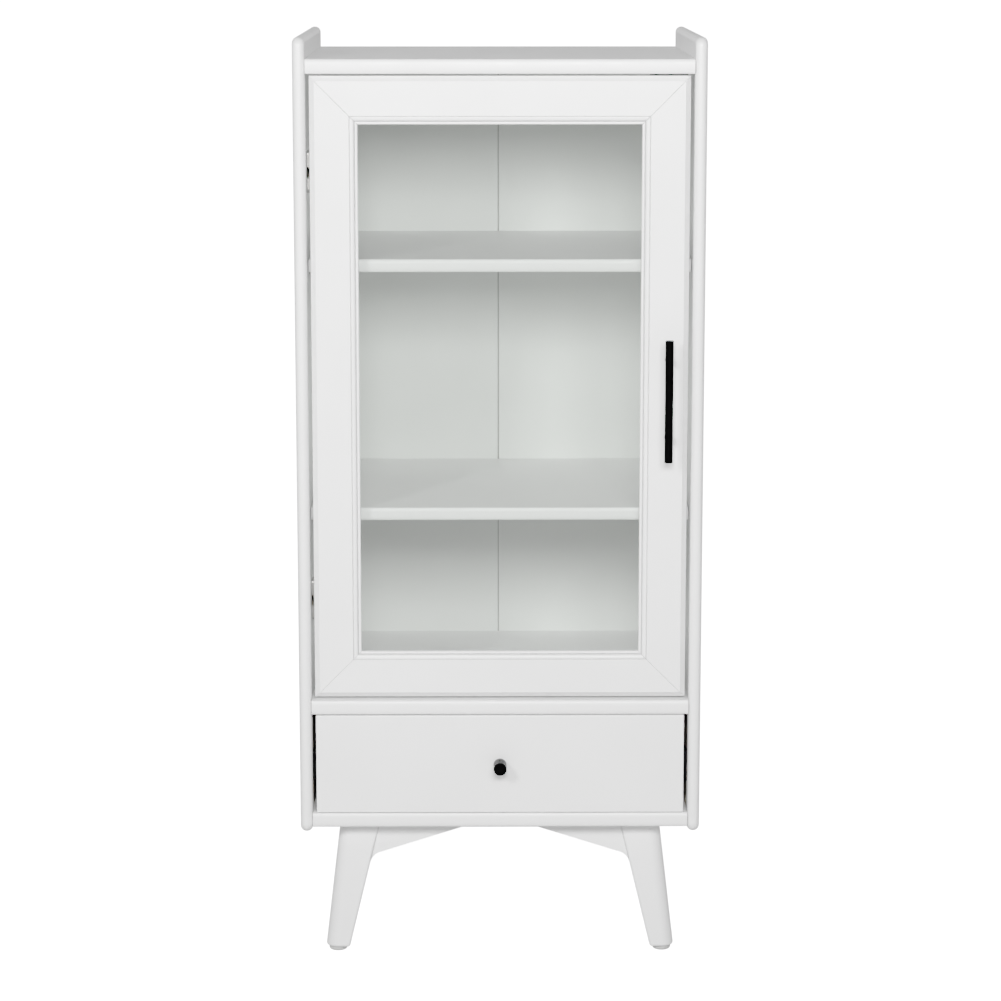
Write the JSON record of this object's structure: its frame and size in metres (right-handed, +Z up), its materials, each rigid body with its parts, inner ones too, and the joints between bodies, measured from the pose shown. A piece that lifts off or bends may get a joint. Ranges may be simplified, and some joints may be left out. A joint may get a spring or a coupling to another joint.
{
  "type": "display cabinet",
  "caption": "Tall glass-door apothecary cabinet with inner shelves, a drawer below, a bar handle and a splayed base.",
  "frame": {"origin": "on the floor, under the middle of the cabinet's bounding box", "axes": "+Z up, the front faces -Y, +X is to the right of someone facing the front"},
  "size_m": [0.5, 0.43, 1.15],
  "materials": {
    "white_lacquer": "satin white lacquer",
    "white_sheet": "matt white sheet",
    "pale_ply": "matt",
    "clear_glass": "polished",
    "black_metal": "satin black",
    "nickel_steel": "nickel plated",
    "zinc_steel": "dark zinc plated",
    "grey_plastic": "moulded",
    "dark_plastic": "moulded"
  },
  "bodies": {
    "root": {"apron_front": "white_lacquer", "apron_left": "white_lacquer", "apron_rear": "white_lacquer", "apron_right": "white_lacquer", "back_sheet_left": "white_sheet", "back_sheet_right": "white_sheet", "bottom_board": "white_lacquer", "divider_board": "white_lacquer", "glide_front_left": "grey_plastic", "glide_front_right": "grey_plastic", "glide_rear_left": "grey_plastic", "glide_rear_right": "grey_plastic", "hinge_arm_lower": "nickel_steel", "hinge_arm_upper": "nickel_steel", "leg_front_left": "white_lacquer", "leg_front_right": "white_lacquer", "leg_rear_left": "white_lacquer", "leg_rear_right": "white_lacquer", "magnetic_catch": "dark_plastic", "shelf_lower": "white_lacquer", "shelf_pin_lower_front_left": "nickel_steel", "shelf_pin_lower_front_right": "nickel_steel", "shelf_pin_lower_rear_left": "nickel_steel", "shelf_pin_lower_rear_right": "nickel_steel", "shelf_pin_upper_front_left": "nickel_steel", "shelf_pin_upper_front_right": "nickel_steel", "shelf_pin_upper_rear_left": "nickel_steel", "shelf_pin_upper_rear_right": "nickel_steel", "shelf_upper": "white_lacquer", "side_panel_left": "white_lacquer", "side_panel_right": "white_lacquer", "slide_channel_left": "zinc_steel", "slide_channel_right": "zinc_steel", "top_board": "white_lacquer"},
    "door": {"door_glass": "clear_glass", "door_rail_bottom": "white_lacquer", "door_rail_top": "white_lacquer", "door_stile_left": "white_lacquer", "door_stile_right": "white_lacquer", "glazing_bead_bottom": "white_lacquer", "glazing_bead_left": "white_lacquer", "glazing_bead_right": "white_lacquer", "glazing_bead_top": "white_lacquer", "handle_bar": "black_metal", "handle_post_lower": "black_metal", "handle_post_upper": "black_metal", "hinge_cup_lower": "nickel_steel", "hinge_cup_upper": "nickel_steel", "hinge_pin_lower": "nickel_steel", "hinge_pin_upper": "nickel_steel", "strike_plate": "nickel_steel"},
    "drawer": {"drawer_back": "pale_ply", "drawer_floor": "pale_ply", "drawer_front": "white_lacquer", "drawer_knob": "black_metal", "drawer_runner_left": "zinc_steel", "drawer_runner_right": "zinc_steel", "drawer_side_left": "pale_ply", "drawer_side_right": "pale_ply"}
  },
  "joints": [
    {"name": "door_hinge", "type": "hinge", "parent": "root", "child": "door", "pos_m": [-0.221, -0.169, 0.7195], "axis": [0, 0, -1], "range_deg": [0, 95]},
    {"name": "drawer_slide", "type": "slide", "parent": "root", "child": "drawer", "axis": [0, -1, 0], "range_m": [0, 0.26]}
  ]
}
